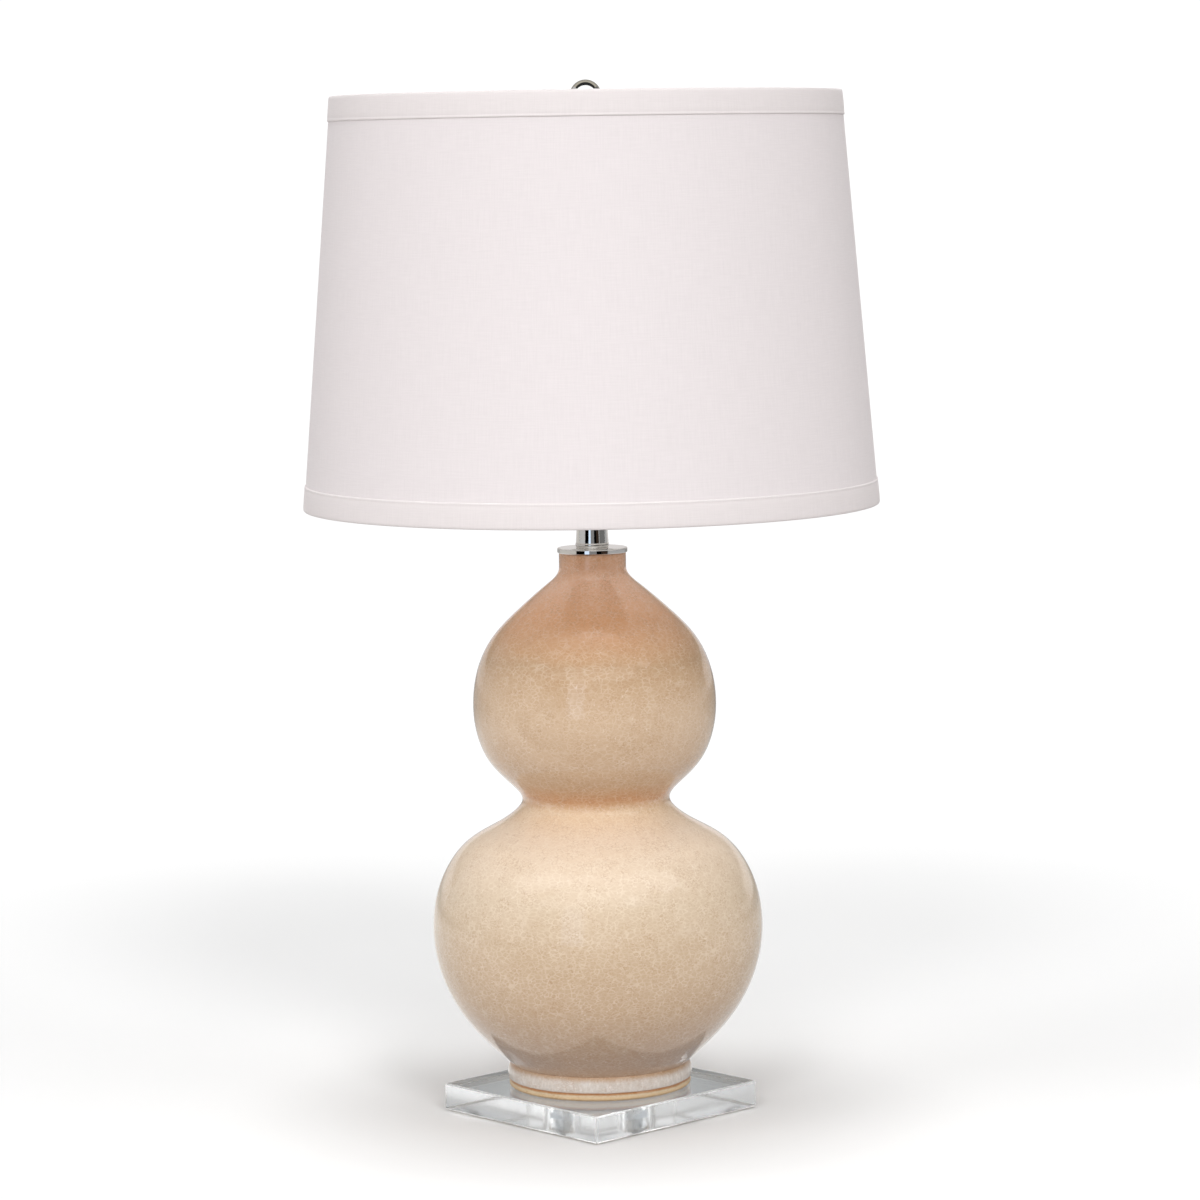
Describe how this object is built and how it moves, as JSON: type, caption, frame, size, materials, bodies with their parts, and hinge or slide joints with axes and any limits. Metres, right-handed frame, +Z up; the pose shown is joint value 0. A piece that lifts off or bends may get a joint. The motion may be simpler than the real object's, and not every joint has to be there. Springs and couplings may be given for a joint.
{
  "type": "table lamp",
  "caption": "Table lamp with a hollow double-gourd ceramic body on a clear square base, a tapered drum shade on a harp, a ball finial and a turn-switch socket with a bulb.",
  "frame": {"origin": "middle of the rest plane under the base block's feet", "axes": "+Z up along the lamp's axis; +Y to the back, where the cord's bushing is; the base block's sides lie along X and Y"},
  "size_m": [0.4063, 0.4062, 0.7329],
  "materials": {
    "clear_acrylic": "polished clear acrylic",
    "clear_rubber": "clear soft bumper",
    "zinc_steel": "zinc plated",
    "crackle_glaze": "glossy crackle glaze, peach to cream",
    "clear_plastic": "translucent nylon",
    "polished_nickel": "polished nickel plate",
    "satin_nickel": "nickel-plated steel",
    "card": "insulating card",
    "moulded_resin": "moulded phenolic",
    "yellow_brass": "plain brass",
    "shell_aluminium": "drawn aluminium",
    "black_plastic": "moulded, semi-gloss",
    "black_glass": "black glass",
    "solder": "solder",
    "frosted_glass": "inside-frosted white",
    "white_wire": "white powder coat",
    "white_styrene": "smooth white sheet",
    "white_linen": "fine woven white",
    "white_tape": "folded fabric tape"
  },
  "bodies": {
    "lamp": {"base_plate": "clear_acrylic", "base_feet": "clear_rubber", "base_washer": "zinc_steel", "base_lock_washer": "zinc_steel", "base_nut": "zinc_steel", "lamp_pipe": "zinc_steel", "gourd_body": "crackle_glaze", "gourd_foot": "crackle_glaze", "cord_bushing": "clear_plastic", "vase_cap": "polished_nickel", "neck_tube": "polished_nickel", "harp_saddle": "satin_nickel", "socket_cap": "polished_nickel", "cap_set_screw": "zinc_steel", "socket_shell": "polished_nickel", "socket_liner": "card", "switch_body": "moulded_resin", "terminal_screws": "yellow_brass", "screw_shell": "shell_aluminium", "centre_contact": "yellow_brass"},
    "switch": {"switch_spindle": "yellow_brass", "switch_knob": "black_plastic"},
    "bulb_cap": {"bulb_base": "shell_aluminium", "bulb_insulator": "black_glass", "bulb_contact": "solder"},
    "bulb": {"bulb_glass": "frosted_glass"},
    "harp": {"harp_wire": "satin_nickel"},
    "ferrule_left": {"harp_ferrule_left": "satin_nickel"},
    "ferrule_right": {"harp_ferrule_right": "satin_nickel"},
    "stud": {"harp_stud": "satin_nickel"},
    "shade": {"shade_spider": "satin_nickel", "shade_top_ring": "white_wire", "shade_bottom_ring": "white_wire", "shade_liner": "white_styrene", "shade_fabric": "white_linen", "shade_top_trim": "white_tape", "shade_bottom_trim": "white_tape"},
    "finial_foot": {"finial_base": "polished_nickel"},
    "finial": {"finial_ball": "polished_nickel"}
  },
  "joints": [
    {"name": "switch_turn", "type": "hinge", "parent": "lamp", "child": "switch", "pos_m": [0, -0.02, 0.48385], "axis": [0, -1, 0], "continuous": true},
    {"name": "bulb_rise", "type": "slide", "parent": "lamp", "child": "bulb_cap", "axis": [0, 0, 1], "range_m": [0, 0.01452]},
    {"name": "bulb_turn", "type": "hinge", "parent": "bulb_cap", "child": "bulb", "pos_m": [0, 0, 0.55], "axis": [0, 0, 1], "range_deg": [0, 1470]},
    {"name": "harp_lift", "type": "slide", "parent": "lamp", "child": "harp", "axis": [0, 0, 1], "range_m": [0, 0.02]},
    {"name": "ferrule_left_slide", "type": "slide", "parent": "harp", "child": "ferrule_left", "axis": [0, 0, 1], "range_m": [0, 0.014]},
    {"name": "ferrule_right_slide", "type": "slide", "parent": "harp", "child": "ferrule_right", "axis": [0, 0, 1], "range_m": [0, 0.014]},
    {"name": "shade_turn", "type": "hinge", "parent": "harp", "child": "stud", "pos_m": [0, 0, 0.6973], "axis": [0, 0, 1], "continuous": true},
    {"name": "shade_lift", "type": "slide", "parent": "stud", "child": "shade", "axis": [0, 0, 1], "range_m": [0, 0.0115]},
    {"name": "finial_rise", "type": "slide", "parent": "shade", "child": "finial_foot", "axis": [0, 0, 1], "range_m": [0, 0.00658]},
    {"name": "finial_turn", "type": "hinge", "parent": "finial_foot", "child": "finial", "pos_m": [0, 0, 0.7217], "axis": [0, 0, 1], "range_deg": [0, 2570]}
  ],
  "couplings": [
    {"joint": "bulb_turn", "follows": "bulb_rise", "rad_per_m": 1731.4},
    {"joint": "finial_turn", "follows": "finial_rise", "rad_per_m": 6679}
  ]
}
